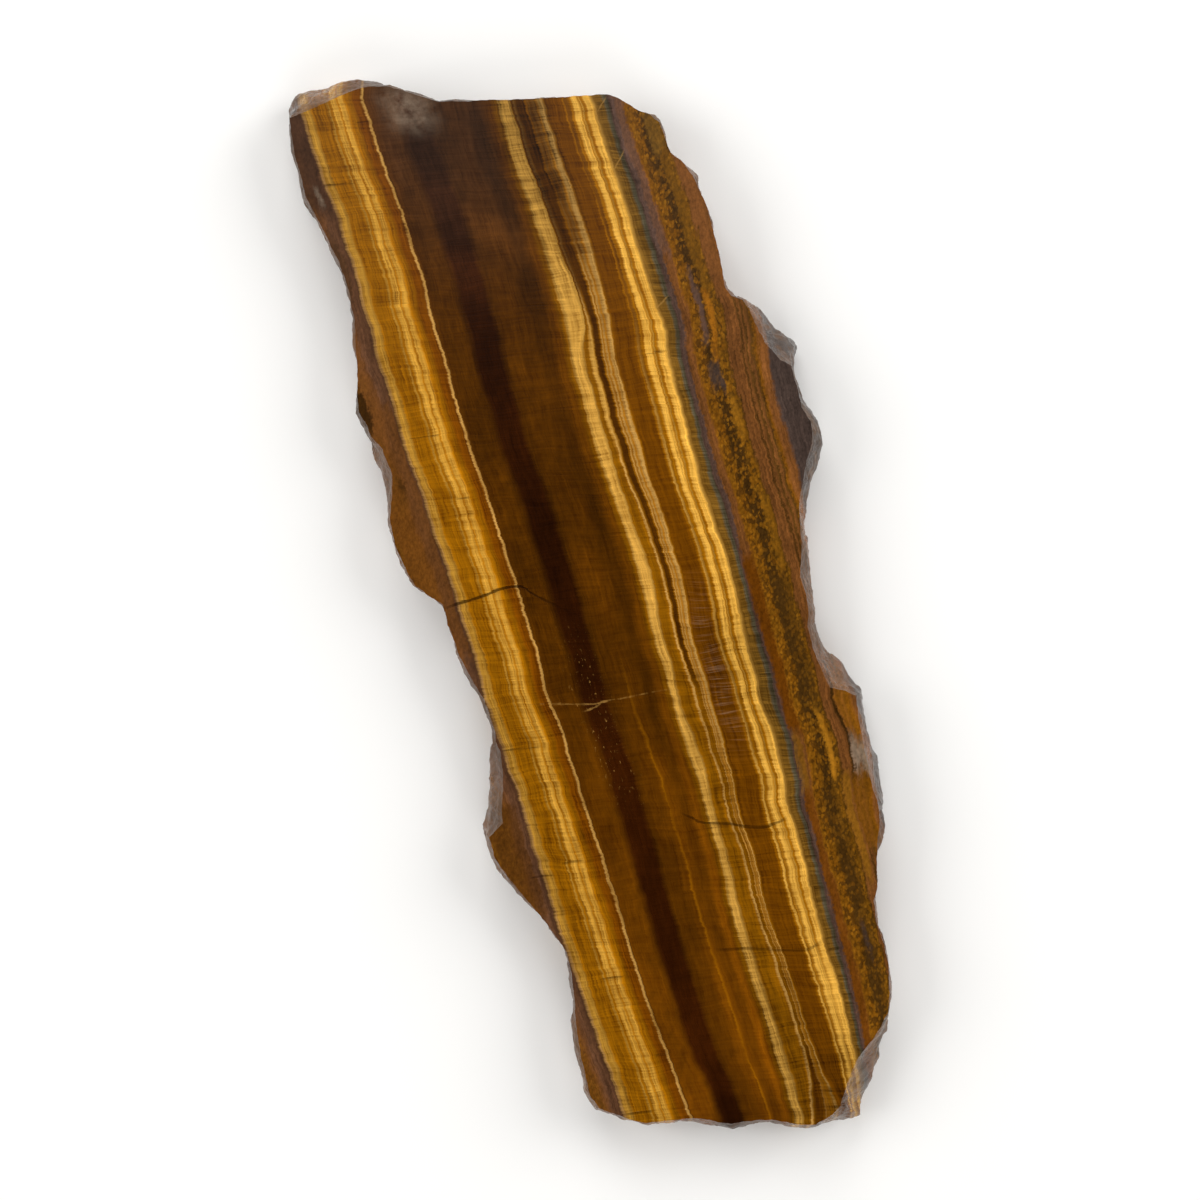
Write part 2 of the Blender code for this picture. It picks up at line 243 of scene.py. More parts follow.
# Patches of rock: from one share across to another, from one place along to another in millimetres, and
# the colour, its gain and how much of it shows.
ROCK_PATCHES = (
    (1.095, 1.140, 113.0, 124.0, "olive", 0.95, 0.80),
    (1.108, 1.140, 78.0, 112.0, "ochre", 0.78, 0.70),
    (1.150, 1.210, 78.0, 111.0, "red_brown", 1.20, 0.70),
    (1.074, 1.092, 66.0, 82.0, "purple_grey", 1.10, 0.85),
    (1.074, 1.120, 54.5, 59.5, "slate", 1.10, 0.80),
    (1.102, 1.120, 60.0, 78.0, "orange_rock", 1.75, 0.85),
    (1.122, 1.142, 43.0, 53.0, "ochre", 1.70, 0.65),
    (1.122, 1.148, 10.0, 28.0, "ochre", 1.10, 0.55),
    (1.004, 1.040, 88.0, 140.0, "purple_grey", 1.25, 0.60),
    (1.084, 1.142, -26.0, 9.0, "dark_rock", 1.15, 0.60),
    (1.006, 1.045, -32.0, 12.0, "orange_amber", 0.62, 0.90),
    (1.012, 1.042, -120.0, -46.0, "orange_amber", 0.72, 0.75),
    (1.002, 1.032, -46.0, -33.0, "ochre", 1.05, 0.70),
    (1.114, 1.134, -43.0, -27.0, "ochre", 2.10, 0.80),
    (1.155, 1.184, -68.0, -43.0, "ochre", 1.35, 0.75),
    (1.080, 1.136, -102.0, -46.0, "dark_rock", 1.30, 0.50),
    (1.095, 1.115, -88.0, -80.0, "slate", 1.10, 0.60),
    (1.188, 1.200, -46.0, -20.0, "dark_rock", 0.60, 0.80),
    (1.202, 1.258, -33.0, -18.0, "orange_rock", 1.25, 0.60),
    (1.200, 1.250, -42.0, -34.0, "pale_grain", 0.42, 0.70),
    (1.190, 1.250, -60.0, -43.0, "orange_rock", 0.95, 0.70),
    # The next row paints the same haze of reflected light on the left rock at the upper end.
    (-0.095, -0.004, 97.0, 126.0, "mauve_painted_haze", 1.15, 0.85),
    (-0.048, -0.018, 76.0, 90.0, "dark_rock", 0.75, 0.50),
    (-0.042, -0.024, 100.0, 103.0, "pale_grain", 0.40, 0.60),
    (-0.130, -0.004, -14.0, 50.0, "rock_ochre", 1.12, 0.60),
    (-0.090, -0.045, 40.0, 68.0, "red_brown", 0.95, 0.60),
    (-0.075, -0.050, 27.0, 30.0, "dark_rock", 0.55, 0.80),
    (-0.130, -0.084, 42.0, 54.0, "dark_rock", 0.35, 0.80),
    (-0.130, -0.050, -6.0, 24.0, "rock_ochre", 1.15, 0.60),
    (-0.130, -0.020, -76.0, -50.0, "rock_ochre", 0.70, 0.70),
    # The next row darkens the corner at the lower end past the right contact: partly dark rock and partly
    # painted shade.
    (0.880, 1.010, -132.0, -116.0, "dark_rock", 0.90, 0.90),
)
# Painted sheen: how strongly each part of the stone glows along its length, painted into its colour. Its
# fibres lie at a slightly changing angle.
LEFT_PAINTED_SHEEN = (
    (126, 0.84), (80, 0.93), (20, 1.03), (-12, 0.96), (-40, 0.88), (-85, 0.92), (-128, 0.84),
)
PALE_PAINTED_SHEEN = (
    (126, 0.50), (108, 0.58), (80, 0.82), (50, 0.97), (5, 0.98), (-12, 0.88), (-40, 0.80),
    (-85, 0.80), (-105, 0.62), (-128, 0.62),
)
GOLD_PAINTED_SHEEN = (
    (126, 0.86), (80, 1.00), (40, 1.06), (0, 0.98), (-14, 0.76), (-34, 0.90), (-80, 0.98),
    (-100, 0.96), (-110, 0.74), (-128, 0.62),
)
MIDDLE_PAINTED_SHEEN = (
    (126, 1.00), (40, 1.00), (-10, 1.03), (-44, 1.25), (-80, 1.35), (-105, 1.55), (-128, 1.50),
)
DARK_LAYER_PAINTED_SHEEN = (
    (126, 1.50), (112, 1.00), (104, 1.35), (92, 0.85), (85, 1.20), (74, 0.85), (60, 0.80),
    (48, 1.05), (25, 0.85), (2, 0.82), (-12, 0.95), (-34, 1.05), (-60, 0.84), (-92, 0.80),
    (-104, 1.00), (-115, 0.90), (-124, 0.55),
)

# Cracks: each row is a share across the bands and the place along them in millimetres.
MAIN_CRACK = (
    (-0.040, -1.0), (0.000, 0.0), (0.050, 1.0), (0.110, 2.3), (0.170, 3.8), (0.230, 4.4),
    (0.260, 3.0), (0.290, 1.5), (0.330, 0.0), (0.420, -4.0),
)
HEALED_CRACK = (
    (0.160, -25.0), (0.235, -25.0), (0.370, -25.0), (0.400, -24.5), (0.450, -23.8), (0.650, -21.2),
)
HEALED_BRANCH = ((0.320, -26.8), (0.370, -25.8), (0.400, -24.5))
UPPER_CROSS_CRACK = (
    (0.560, -52.0), (0.600, -53.5), (0.630, -54.5), (0.720, -55.0), (0.830, -55.8),
    (0.880, -55.0), (0.940, -53.0),
)
LOWER_CROSS_CRACK = (
    (0.550, -86.5), (0.650, -86.2), (0.800, -86.5), (0.870, -86.5), (0.910, -85.5), (0.950, -84.0),
)
# Short cracks along the fibres: from one share to another, at a place along the bands.
SHORT_CRACKS = (
    (0.000, 0.100, 104.8), (0.170, 0.210, 120.5), (0.885, 0.950, 63.0), (0.030, 0.130, 41.8),
    (0.110, 0.155, 26.5), (0.000, 0.130, -36.2), (0.090, 0.160, -64.5), (-0.040, 0.040, -68.2),
    (0.090, 0.180, -93.5), (0.200, 0.250, -112.8), (0.020, 0.120, -127.2),
)
# Pale scratches: from one share to another, at a place along the bands, and how steeply they rise in
# millimetres for a whole share.
SCRATCHES = (
    (0.955, 0.992, 125.0, 80.0), (0.953, 1.000, 111.0, 90.0), (0.948, 0.990, 75.5, 62.0),
)


def linear(value):
    """A stored colour value of 0 to 255 as the amount of light that it stands for."""
    share = value / 255
    return share / 12.92 if share <= 0.04045 else ((share + 0.055) / 1.055) ** 2.4


def tint(colour_value, gain):
    """A colour made lighter or darker."""
    return tuple(min(1.0, gain * part) for part in colour_value)


def colour(name, description, red, green, blue):
    """A colour that a user can change."""
    return FloatVectorProperty(
        name=name,
        description=description,
        subtype="COLOR",
        size=3,
        min=0.0,
        max=1.0,
        default=(linear(red), linear(green), linear(blue)),
    )


def length(name, description, default):
    """A length that a user can change."""
    return FloatProperty(
        name=name, description=description, default=default, min=0.0, subtype="DISTANCE", unit="LENGTH"
    )


class StoneColours(PropertyGroup):
    pale_gold: colour("Pale gold", "Bright lines of the left gold band", 206, 150, 54)
    greyed_gold: colour("Greyed gold", "Edge of the gold at the left contact", 150, 110, 60)
    band_gold: colour("Band gold", "Broad pale band in the right half", 202, 150, 64)
    bright_gold: colour("Bright gold", "Pair of bright bands at the right contact", 230, 172, 70)
    thin_line: colour("Thin line", "Whitish hairlines between the bands", 178, 133, 66)
    amber: colour("Amber", "Silky amber between the bright lines", 136, 84, 3)
    orange_amber: colour("Orange amber", "Deep orange side of the left gold band", 114, 61, 1)
    deep_amber: colour("Deep amber", "Brown amber between the pale bands", 97, 54, 1)
    umber: colour("Umber", "Brown of the dark middle", 72, 38, 1)
    darkest: colour("Darkest layer", "Nearly black brown of the middle", 41, 15, 1)
    # Painted haze: a greyer brown that stands for reflected light on the upper end of the middle and of the
    # left rock.
    mauve_painted_haze: colour("Mauve", "Cool brown of the middle near the upper end", 55, 34, 21)
    olive: colour("Olive", "Olive layer outside the bright pair", 104, 72, 22)
    blue_grey: colour("Blue grey", "Unaltered blue fibres at the right contact", 74, 66, 48)
    purple_grey: colour("Purple grey", "Hematite skin of the right host rock", 82, 60, 50)
    red_brown: colour("Red brown", "Smooth jasper of the host rock", 106, 64, 28)
    orange_rock: colour("Orange rock", "Granular orange jasper", 116, 70, 10)
    ochre: colour("Ochre", "Yellow brown grains", 114, 74, 14)
    dark_rock: colour("Dark rock", "Dark grains of the host rock", 60, 38, 10)
    slate: colour("Slate", "Grey purple iron ore", 62, 49, 43)
    rock_brown: colour("Rock brown", "Mauve brown of the left host rock", 82, 53, 34)
    rock_ochre: colour("Rock ochre", "Ochre grains of the left host rock", 93, 54, 15)
    # Also the colour of the painted haze on the rubbed marks.
    pale_grain: colour("Pale grain", "Whitish crystals, scuffs and chips", 196, 172, 146)


class SlabSizes(PropertyGroup):
    flank_cuts: IntProperty(
        name="Flank cuts",
        description="New edges along each side of a flank triangle",
        default=3,
        min=0,
        max=3,
    )
    soften: FloatProperty(
        name="Soften", description="Share by which the flank is evened out", default=0.5, min=0.0, max=1.0
    )
    ledge_depth: length("Ledge depth", "Depth of the broken ledges of the flank", 0.0009)
    splinter_depth: length("Splinter depth", "Depth of the splinters along the fibres", 0.0006)
    grain_depth: length("Grain depth", "Depth of the finest broken grain", 0.00025)
    chip_reach: length("Chip reach", "Widest chip out of the arris of the face", 0.0006)
    rim_fade: length("Rim fade", "Distance from a flat face in which the relief dies away", 0.0012)
    sharp_angle: FloatProperty(
        name="Sharp angle", description="Edges steeper than this stay sharp", default=radians(38),
        min=0.0, max=radians(180), subtype="ANGLE", unit="ROTATION",
    )


class StageSizes(PropertyGroup):
    eye_height: length("Eye height", "Height of the camera above the floor", 0.616)
    eye_x: FloatProperty(
        name="Eye X", description="Place of the camera across the slab", default=-0.010695, unit="LENGTH"
    )
    eye_y: FloatProperty(
        name="Eye Y", description="Place of the camera along the slab", default=-0.000712, unit="LENGTH"
    )
    lens: FloatProperty(
        name="Lens", description="Focal length of the camera", default=72.0, min=1.0, unit="CAMERA"
    )
    floor_side: length("Floor side", "Side of the square floor", 2.6)
    lamp_side: length("Lamp side", "Side of each soft square lamp", 0.9)
    lamp_power: FloatProperty(
        name="Lamp power", description="Power of each lamp", default=9.0, min=0.0, unit="POWER"
    )
    sky: FloatProperty(name="Sky", description="Strength of the light from all round", default=0.5, min=0.0)
    floor_colour: colour("Floor colour", "Plain pale floor", 246, 245, 243)


class Web:
    """Adds the nodes of one tree and joins them."""

    COLUMN = 14

    def __init__(self, tree):
        self.tree = tree
        self.count = 0

    def node(self, kind, **settings):
        made = self.tree.nodes.new(kind)
        made.location = (200 * (self.count // self.COLUMN), -220 * (self.count % self.COLUMN))
        self.count += 1
        for name, value in settings.items():
            setattr(made, name, value)
        return made

    def feed(self, socket, value):
        """Links a socket to another, or sets it to a number, vector or colour."""
        if isinstance(value, bpy.types.NodeSocket):
            self.tree.links.new(value, socket)
        elif hasattr(value, "__len__") and len(value) == 3 and len(socket.default_value) == 4:
            socket.default_value = (*value, 1.0)
        else:
            socket.default_value = value

    def math(self, operation, *terms, clamp=False):
        made = self.node("ShaderNodeMath", operation=operation, use_clamp=clamp)
        for socket, term in zip(made.inputs, terms):
            self.feed(socket, term)
        return made.outputs[0]

    def add(self, a, b):
        return self.math("ADD", a, b)

    def take(self, a, b):
        return self.math("SUBTRACT", a, b)

    def times(self, a, b):
        return self.math("MULTIPLY", a, b)

    def span(self, value, low, high, to_low=0.0, to_high=1.0, smooth=False):
        """The value carried from low to high over to the other two, and held at their ends."""
        made = self.node("ShaderNodeMapRange", interpolation_type="SMOOTHSTEP" if smooth else "LINEAR")
        for socket, term in zip(made.inputs, (value, low, high, to_low, to_high)):
            self.feed(socket, term)
        return made.outputs[0]

    def window(self, value, low, high, soft):
        """1 between low and high, and 0 outside, with soft edges of that width."""
        rise = self.span(value, low - soft, low + soft, smooth=True)
        fall = self.span(value, high - soft, high + soft, 1.0, 0.0, smooth=True)
        return self.times(rise, fall)

    def mix(self, share, a, b, blend="MIX"):
        made = self.node("ShaderNodeMix", data_type="RGBA", blend_type=blend, clamp_factor=True)
        self.feed(made.inputs["Factor"], share)
        self.feed(made.inputs[6], a)
        self.feed(made.inputs[7], b)
        return made.outputs[2]

    def shade(self, base, gain):
        """A colour made lighter or darker."""
        made = self.node("ShaderNodeVectorMath", operation="SCALE")
        self.feed(made.inputs[0], base)
        self.feed(made.inputs["Scale"], gain)
        return made.outputs[0]

    def place(self, x, y, z):
        made = self.node("ShaderNodeCombineXYZ")
        for socket, term in zip(made.inputs, (x, y, z)):
            self.feed(socket, term)
        return made.outputs[0]

    def noise(self, place, scale=1.0, detail=2.0, roughness=0.5, distortion=0.0):
        """Soft noise between 0 and 1."""
        made = self.node("ShaderNodeTexNoise", noise_dimensions="3D")
        self.feed(made.inputs["Vector"], place)
        self.feed(made.inputs["Scale"], scale)
        self.feed(made.inputs["Detail"], detail)
        self.feed(made.inputs["Roughness"], roughness)
        self.feed(made.inputs["Distortion"], distortion)
        return made.outputs[0]

    def noise_place(self, place, scale, reach):
        """A small push in every direction that changes from point to point."""
        made = self.node("ShaderNodeTexNoise", noise_dimensions="3D")
        self.feed(made.inputs["Vector"], place)
        self.feed(made.inputs["Scale"], scale)
        push = self.node("ShaderNodeVectorMath", operation="SUBTRACT")
        self.feed(push.inputs[0], made.outputs[1])
        push.inputs[1].default_value = (0.5, 0.5, 0.5)
        return self.shade(push.outputs[0], reach)

    def add_place(self, a, b):
        made = self.node("ShaderNodeVectorMath", operation="ADD")
        self.feed(made.inputs[0], a)
        self.feed(made.inputs[1], b)
        return made.outputs[0]

    def cells(self, place, scale, feature="F1", output="Distance", randomness=1.0):
        made = self.node("ShaderNodeTexVoronoi", voronoi_dimensions="3D", feature=feature)
        self.feed(made.inputs["Vector"], place)
        self.feed(made.inputs["Scale"], scale)
        self.feed(made.inputs["Randomness"], randomness)
        return made.outputs[output]

    def ramp(self, value, rows, palette):
        """Colour bands: rows of a place, a colour's name and its gain."""
        low, high = rows[0][0], rows[-1][0]
        place = self.span(value, low, high)
        made = self.node("ShaderNodeValToRGB")
        elements = made.color_ramp.elements
        for index, (at, name, gain) in enumerate(rows):
            share = (at - low) / (high - low)
            if index == 0:
                element = elements[0]
            elif index == len(rows) - 1:
                element = elements[-1]
            else:
                element = elements.new(share)
            element.position = share
            element.color = (*tint(getattr(palette, name), gain), 1.0)
        self.feed(made.inputs[0], place)
        return made.outputs[0]

    def guide(self, along, rows):
        """A smooth curve through rows of a place along and a value."""
        rows = sorted(rows)
        starts = [at for at, _ in rows]
        values = [value for _, value in rows]
        low, high = min(values), max(values)
        place = self.span(along, starts[0], starts[-1])
        made = self.node("ShaderNodeFloatCurve")
        points = made.mapping.curves[0].points
        for index, (at, value) in enumerate(rows):
            spot = ((at - starts[0]) / (starts[-1] - starts[0]), (value - low) / (high - low))
            if index == 0:
                points[0].location = spot
            elif index == len(rows) - 1:
                points[-1].location = spot
            else:
                points.new(*spot)
        made.mapping.update()
        self.feed(made.inputs["Value"], place)
        return self.math("MULTIPLY_ADD", made.outputs[0], high - low, low)


class Places:
    """Where a point of the stone lies: across and along the bands in millimetres, and as a share."""

    def __init__(self, web):
        object_place = web.node("ShaderNodeTexCoord").outputs["Object"]
        spin = web.node("ShaderNodeMapping", vector_type="POINT")
        web.feed(spin.inputs["Vector"], object_place)
        spin.inputs["Scale"].default_value = (TO_MM, TO_MM, TO_MM)
        spin.inputs["Rotation"].default_value = (0.0, 0.0, TURN)
        x, y = BAND_MIDDLE_MM
        spin.inputs["Location"].default_value = (
            x * cos(TURN) - y * sin(TURN),
            x * sin(TURN) + y * cos(TURN),
            0.0,
        )
        self.web = web
        self.point = spin.outputs[0]
        split = web.node("ShaderNodeSeparateXYZ")
        web.feed(split.inputs[0], self.point)
        self.across, self.along, self.up = split.outputs
        self.depth = web.take(FACE_MM, self.up)
        self.fibre_place()
        self.share_between_contacts()
        self.share_by_layer()

    def fibre_place(self):
        """A distance from fibre to fibre. They cross the bands with a slight rise and wave a little."""
        web = self.web
        wave_place = web.place(web.times(self.across, 0.05), web.times(self.along, 0.05), 0.0)
        wave = web.noise(wave_place, 1.0, 1.0)
        tilt = web.math("MULTIPLY_ADD", self.across, -tan(FIBRE_RISE), self.along)
        self.fibre_at = web.math("MULTIPLY_ADD", wave, 5.0, tilt)
        across = web.times(self.across, 0.11)
        deep = web.times(self.up, 0.4)
        self.fine_fibres = web.noise(web.place(across, web.times(self.fibre_at, 2.6), deep), 1.0, 2.0, 0.6)
        self.broad_fibres = web.noise(web.place(across, web.times(self.fibre_at, 0.7), deep), 1.0, 2.0, 0.6)

    def share_between_contacts(self):
        """0 at the left contact and 1 at the right one. The layers lean and roughen a little with depth."""
        web = self.web
        left = web.guide(self.along, LEFT_CONTACT)
        right = web.guide(self.along, RIGHT_CONTACT)
        width = web.take(right, left)
        lean = web.math("MULTIPLY_ADD", self.depth, 0.10, self.across)
        x, y, z = web.times(self.across, 0.08), web.times(self.along, 0.2), web.times(self.up, 0.1)
        ripple = web.noise(web.place(x, y, z), 1.0, 4.0, 0.6)
        saw = web.math("MULTIPLY_ADD", web.take(self.fine_fibres, 0.5), 0.6, lean)
        saw = web.math("MULTIPLY_ADD", web.take(self.broad_fibres, 0.5), 0.6, saw)
        saw = web.math("MULTIPLY_ADD", web.take(ripple, 0.5), 1.5, saw)
        self.share = web.math("DIVIDE", web.take(saw, left), width)

    def share_by_layer(self):
        """The share with every guided layer brought to the place where the colour bands hold it."""
        web = self.web
        total = web.math("MINIMUM", self.share, 0.0)
        low, drawn_low = 0.0, 0.0
        for rows, drawn_high in GUIDES:
            high = web.guide(self.along, rows)
            total = web.add(total, web.span(self.share, low, high, 0.0, drawn_high - drawn_low))
            low, drawn_low = high, drawn_high
        total = web.add(total, web.span(self.share, low, 1.0, 0.0, 1.0 - drawn_low))
        self.layer = web.add(total, web.math("MAXIMUM", web.take(self.share, 1.0), 0.0))
        fine = web.place(web.times(self.layer, 230.0), web.times(self.along, 0.11), 0.0)
        broad = web.place(web.times(self.layer, 62.0), web.times(self.along, 0.06), 3.0)
        nick_place = web.place(web.times(self.across, 0.16), web.times(self.fibre_at, 3.6), self.up)
        self.nicks = web.span(web.noise(nick_place, 1.0, 2.0, 0.7), 0.62, 0.76)
        self.fine_stripes = web.noise(fine, 1.0, 2.0, 0.6)
        self.broad_stripes = web.noise(broad, 1.0, 2.0, 0.6)


def silk(web, at, base, stripes, fibres, nicks, glow):
    """Fine stripes along the bands, fibres across them, short dark nicks and a painted sheen that glows and
    dims along the slab. What is dim is also warmer than what is bright."""
    play = web.math("MULTIPLY_ADD", web.take(at.fine_stripes, 0.5), 1.2 * stripes, 0.0)
    play = web.math("MULTIPLY_ADD", web.take(at.broad_stripes, 0.5), stripes, play)
    play = web.math("MULTIPLY_ADD", web.take(at.fine_fibres, 0.5), 1.2 * fibres, play)
    play = web.math("MULTIPLY_ADD", web.take(at.broad_fibres, 0.5), 0.9 * fibres, play)
    play = web.math("MULTIPLY_ADD", at.nicks, -nicks, play)
    # glow is a painted sheen: brightness along the slab that stands in for the shimmer of the fibres under the
    # lamps.
    lit = web.shade(base, web.add(play, web.guide(at.along, glow)))
    return web.mix(web.span(play, 0.02, -0.45, 0.0, 0.8), lit, DIM_WARMTH, blend="MULTIPLY")


def pale_bands(web, at, palette):
    """The broad pale band and the thin pale lines beside it, which part and fade along the slab."""
    base = web.ramp(at.layer, PALE_BANDS, palette)
    wide = web.times(web.window(at.layer, 0.704, 0.721, 0.004), web.window(at.along, 42.0, 68.0, 7.0))
    base = web.mix(web.times(wide, 0.85), base, tint(palette.band_gold, 0.88))
    apart = web.window(at.layer, 0.692, 0.728, 0.005)
    apart = web.times(apart, web.span(at.along, 70.0, 82.0, smooth=True))
    base = web.mix(web.times(apart, 0.85), base, tint(palette.umber, 1.10))
    gap = web.times(web.window(at.layer, 0.7225, 0.741, 0.003), web.window(at.along, -111.0, -20.0, 6.0))
    base = web.mix(web.times(gap, 0.8), base, tint(palette.amber, 0.95))
    body = web.window(at.layer, 0.7495, 0.768, 0.003)
    low = web.times(body, web.span(at.along, -30.0, -42.0, smooth=True))
    base = web.mix(web.times(low, 0.85), base, tint(palette.amber, 1.05))
    middle = web.window(at.layer, 0.7585, 0.7610, 0.0025)
    middle = web.times(middle, web.window(at.along, -100.0, -34.0, 8.0))
    base = web.mix(web.times(middle, 0.6), base, tint(palette.thin_line, 0.85))
    high = web.times(web.window(at.layer, 0.740, 0.758, 0.004), web.span(at.along, 82.0, 94.0, smooth=True))
    base = web.mix(web.times(high, 0.80), base, tint(palette.deep_amber, 0.95))
    wedge = web.window(at.layer, 0.724, 0.748, 0.004)
    wedge = web.times(wedge, web.span(at.along, -112.0, -118.0, smooth=True))
    return web.mix(web.times(wedge, 0.75), base, tint(palette.deep_amber, 1.05))


def gold_bands(web, at, palette):
    """The bright pair and, outside it, the olive layer with its strong cross fibres."""
    base = web.ramp(at.layer, GOLD_BANDS, palette)
    olive = web.window(at.layer, 0.960, 0.996, 0.008)
    fibres = web.math("MULTIPLY_ADD", web.take(at.fine_fibres, 0.5), 1.7, 1.0)
    base = web.shade(base, web.span(olive, 0.0, 1.0, 1.0, fibres))
    upper = web.window(at.layer, 0.859, 0.8715, 0.003)
    upper = web.times(upper, web.span(at.along, 38.0, 76.0, 0.25, 0.95))
    base = web.mix(upper, base, tint(palette.deep_amber, 1.10))
    lower = web.span(at.along, -30.0, -60.0, smooth=True)
    line = web.times(web.window(at.layer, 0.8620, 0.8690, 0.003), lower)
    base = web.mix(web.times(line, 0.7), base, tint(palette.bright_gold, 0.82))
    broad = web.times(web.window(at.layer, 0.877, 0.912, 0.006), lower)
    base = web.mix(web.times(broad, 0.30), base, tint(palette.bright_gold, 0.62))
    wide = web.times(web.window(at.layer, 0.900, 0.945, 0.008), web.window(at.along, -113.0, -88.0, 8.0))
    return web.mix(web.times(wide, 0.65), base, tint(palette.bright_gold, 0.86))


def dark_middle(web, at, palette):
    """The umber middle: bands, clouds, warm streaks, a painted sheen along its darkest layer and a painted
    haze of reflected light that makes its upper end cooler.
    """
    base = web.ramp(at.layer, DARK_BANDS, palette)
    # The darkest layer is brightened and dimmed along the slab by a painted sheen.
    in_dark_layer = web.window(at.layer, 0.318, 0.42, 0.012)
    base = web.shade(base, web.span(in_dark_layer, 0.0, 1.0, 1.0, web.guide(at.along, DARK_LAYER_PAINTED_SHEEN)))
    # A greyer brown is painted over the upper end: a painted haze of reflected light.
    upper_haze_mask = web.times(web.window(at.along, 92.0, 150.0, 26.0), web.window(at.layer, 0.22, 0.60, 0.05))
    base = web.mix(web.times(upper_haze_mask, 0.62), base, palette.mauve_painted_haze)
    for low, high, near, far, gain in MIDDLE_CLOUDS:
        lean = web.math("MULTIPLY_ADD", web.take(at.layer, (low + high) / 2), 45.0, at.along)
        inside = web.times(web.window(at.layer, low, high, 0.025), web.window(lean, near, far, 4.0))
        base = web.shade(base, web.span(inside, 0.0, 1.0, 1.0, gain))
    cloud_place = web.place(web.times(at.across, 0.075), web.times(at.along, 0.03), web.times(at.up, 0.05))
    cloud = web.span(web.noise(cloud_place, 1.0, 4.0, 0.6), 0.35, 0.68)
    mottle_place = web.place(web.times(at.across, 0.45), web.times(at.along, 0.22), at.up)
    mottle = web.noise(mottle_place, 1.0, 4.0, 0.7)
    gain = web.math("MULTIPLY_ADD", web.take(mottle, 0.5), 0.9, web.span(cloud, 0.0, 1.0, 0.76, 1.26))
    base = web.shade(base, gain)
    drift = web.math("MULTIPLY_ADD", at.along, 0.00035, at.layer)
    line = web.times(web.window(drift, 0.488, 0.494, 0.006), web.window(at.along, -140.0, -20.0, 14.0))
    base = web.mix(web.times(line, 0.55), base, tint(palette.amber, 0.95))
    fleck_place = web.place(web.times(at.across, 1.5), web.times(lean_along(web, at), 0.7), at.up)
    flecks = web.span(web.noise(fleck_place, 1.0, 3.0, 0.7), 0.62, 0.70)
    fleck_field = web.window(at.layer, 0.30, 0.42, 0.03)
    fleck_field = web.times(fleck_field, web.window(at.along, -46.0, -10.0, 10.0))
    return web.mix(web.times(web.times(flecks, fleck_field), 0.6), base, tint(palette.thin_line, 0.8))


def lean_along(web, at):
    """The place along the bands, leaning so that flecks drawn on it lie aslant."""
    return web.math("MULTIPLY_ADD", at.across, 0.9, at.along)


def host_rock(web, at, palette):
    """The jasper and iron ore on both sides: layered, mottled and partly granular."""
    fine = web.noise(web.place(web.times(at.across, 1.4), web.times(at.along, 0.8), at.up), 1.0, 3.0, 0.7)
    streak_place = web.place(web.times(at.across, 0.5), web.times(at.along, 0.05), web.times(at.up, 0.1))
    streak = web.noise(streak_place, 1.0, 3.0, 0.6)
    mottle_place = web.place(web.times(at.across, 0.3), web.times(at.along, 0.12), at.up)
    mottle = web.noise(mottle_place, 1.0, 4.0, 0.65)
    share = web.math("MULTIPLY_ADD", web.take(fine, 0.5), 0.020, at.share)
    share = web.math("MULTIPLY_ADD", web.take(streak, 0.5), 0.030, share)
    along = web.math("MULTIPLY_ADD", web.take(mottle, 0.5), 16.0, at.along)
    right = web.ramp(share, RIGHT_ROCK, palette)
    left = web.ramp(share, LEFT_ROCK, palette)
    rock = web.mix(web.span(share, 0.4, 0.6), left, right)
    stripes = web.math("MULTIPLY_ADD", web.take(at.broad_stripes, 0.5), 0.9, 1.0)
    rock = web.shade(rock, web.math("MULTIPLY_ADD", web.take(at.fine_stripes, 0.5), 1.3, stripes))
    rock = granular_rock(web, at, rock, share, mottle, palette)
    for low, high, near, far, name, gain, amount in ROCK_PATCHES:
        inside = web.times(web.window(share, low, high, 0.006), web.window(along, near, far, 2.5))
        rock = web.mix(web.times(inside, amount), rock, tint(getattr(palette, name), gain))
    gain = web.math("MULTIPLY_ADD", web.take(mottle, 0.5), 1.1, 1.0)
    return web.shade(rock, web.math("MULTIPLY_ADD", web.take(fine, 0.5), 1.5, gain))


def granular_rock(web, at, rock, share, mottle, palette):
    """Rounded grains of orange, ochre and dark ore, about a millimetre across."""
    place = web.place(web.times(at.across, 1.0), web.times(at.along, 0.7), at.up)
    place = web.add_place(place, web.noise_place(place, 0.9, 0.7))
    distance = web.cells(place, 1.55)
    cell_colour = web.cells(place, 1.55, output="Color")
    split = web.node("ShaderNodeSeparateColor")
    web.feed(split.inputs[0], cell_colour)
    dark_share = web.math("MULTIPLY_ADD", web.take(mottle, 0.5), 1.6, web.guide(share, DARK_GRAINS))
    is_dark = web.span(web.take(split.outputs[0], dark_share), -0.08, 0.08, 1.0, 0.0)
    bright = web.mix(split.outputs[1], tint(palette.orange_rock, 0.95), tint(palette.ochre, 1.35))
    grains = web.mix(is_dark, bright, tint(palette.dark_rock, 1.05))
    grains = web.shade(grains, web.span(distance, 0.15, 0.75, 1.25, 0.60))
    right_part = web.window(share, 1.046, 1.150, 0.008)
    left_part = web.times(web.window(share, -0.140, -0.060, 0.012), 0.5)
    return web.mix(web.times(web.math("MAXIMUM", right_part, left_part), 0.70), rock, grains)


